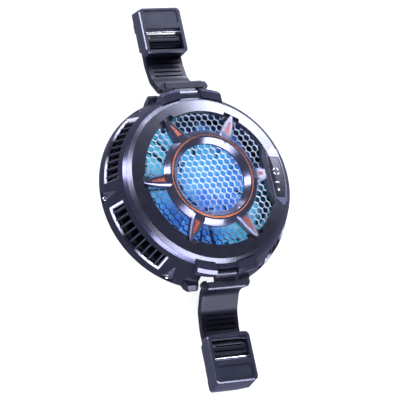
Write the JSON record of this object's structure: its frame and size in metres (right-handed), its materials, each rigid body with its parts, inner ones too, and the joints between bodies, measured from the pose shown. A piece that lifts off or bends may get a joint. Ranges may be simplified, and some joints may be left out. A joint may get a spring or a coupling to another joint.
{
  "type": "phone cooling fan",
  "caption": "Round clip-on phone cooler with a honeycomb grille, star-shaped centre ring, side vents and hinged strap arms with hook buckles.",
  "frame": {"origin": "centre of the cold plate's face, which lies against the phone's back", "axes": "+Z along the fan's axis, from the phone to the grille; +Y toward one arm; +X toward the key and the power inlet"},
  "size_m": [0.0616, 0.123, 0.0241],
  "materials": {
    "body_plastic": "satin moulded plastic",
    "bezel_plastic": "semi-gloss moulded plastic",
    "trim_metal": "satin metallic paint",
    "grille_steel": "bright etched steel",
    "spider_gloss": "polished dark plating",
    "accent_orange": "orange lacquer",
    "inlay_red": "red-orange hatched lacquer",
    "panel_satin": "satin lavender-grey paint",
    "key_black": "gloss black",
    "mark_white": "white print",
    "board_green": "solder mask",
    "lamp_white": "lamp package",
    "guide_clear": "frosted light guide",
    "aluminium_raw": "machined aluminium",
    "ceramic_white": "ceramic",
    "foam_black": "closed-cell foam",
    "copper_wire": "enamelled copper",
    "steel_bright": "plated steel",
    "magnet_grey": "sintered magnet",
    "fan_plastic": "translucent-look fan plastic",
    "strap_rubber": "soft satin rubber",
    "buckle_plastic": "satin moulded plastic",
    "pad_rubber": "matt soft rubber"
  },
  "bodies": {
    "housing": {"rear_housing": "body_plastic", "base_plate": "body_plastic", "vent_louvres": "body_plastic", "housing_screws": "steel_bright", "trim_band": "trim_metal", "front_bezel": "bezel_plastic", "button_panel": "panel_satin", "hex_grille": "grille_steel", "star_spider": "spider_gloss", "accent_ring": "accent_orange", "spoke_inlays": "inlay_red", "tact_switch": "steel_bright", "control_board": "board_green", "led_board": "board_green", "leds": "lamp_white", "light_guide": "guide_clear", "usb_socket": "steel_bright", "cold_plate": "aluminium_raw", "contact_pad": "pad_rubber", "tec_module": "ceramic_white", "insulation_frame": "foam_black", "heatsink": "aluminium_raw", "motor_base": "aluminium_raw", "bearing_bush": "copper_wire", "motor_board": "board_green", "stator_core": "steel_bright", "stator_coils": "copper_wire", "top_lug": "body_plastic", "top_hinge_pin": "steel_bright", "bottom_lug": "body_plastic", "bottom_hinge_pin": "steel_bright"},
    "rotor": {"rotor_shaft": "steel_bright", "rotor_magnet": "magnet_grey", "rotor_yoke": "steel_bright", "fan_rotor": "fan_plastic"},
    "key": {"control_key": "key_black", "key_symbol": "mark_white", "switch_plunger": "pad_rubber"},
    "top_arm": {"top_link": "bezel_plastic", "top_strap": "strap_rubber"},
    "top_clamp": {"top_buckle": "buckle_plastic", "top_buckle_bars": "steel_bright", "top_strap_loop": "strap_rubber", "top_hook_pad": "pad_rubber"},
    "bottom_arm": {"bottom_link": "bezel_plastic", "bottom_strap": "strap_rubber"},
    "bottom_clamp": {"bottom_buckle": "buckle_plastic", "bottom_buckle_bars": "steel_bright", "bottom_strap_loop": "strap_rubber", "bottom_hook_pad": "pad_rubber"}
  },
  "joints": [
    {"name": "fan_spin", "type": "hinge", "parent": "housing", "child": "rotor", "pos_m": [0, 0, 0.0113], "axis": [0, 0, 1], "continuous": true},
    {"name": "key_press", "type": "slide", "parent": "housing", "child": "key", "axis": [0, 0, -1], "range_m": [0, 0.00035], "stiffness_N_per_m": 2000, "springref_m": -0.0002},
    {"name": "top_arm_fold", "type": "hinge", "parent": "housing", "child": "top_arm", "pos_m": [0, 0.0285, 0.0114], "axis": [-1, 0, 0], "range_deg": [0, 40]},
    {"name": "top_clamp_slide", "type": "slide", "parent": "top_arm", "child": "top_clamp", "axis": [0, 1, 0], "range_m": [-0.004, 0.003]},
    {"name": "bottom_arm_fold", "type": "hinge", "parent": "housing", "child": "bottom_arm", "pos_m": [0, -0.0285, 0.0114], "axis": [1, 0, 0], "range_deg": [0, 40]},
    {"name": "bottom_clamp_slide", "type": "slide", "parent": "bottom_arm", "child": "bottom_clamp", "axis": [0, -1, 0], "range_m": [-0.004, 0.003]}
  ]
}
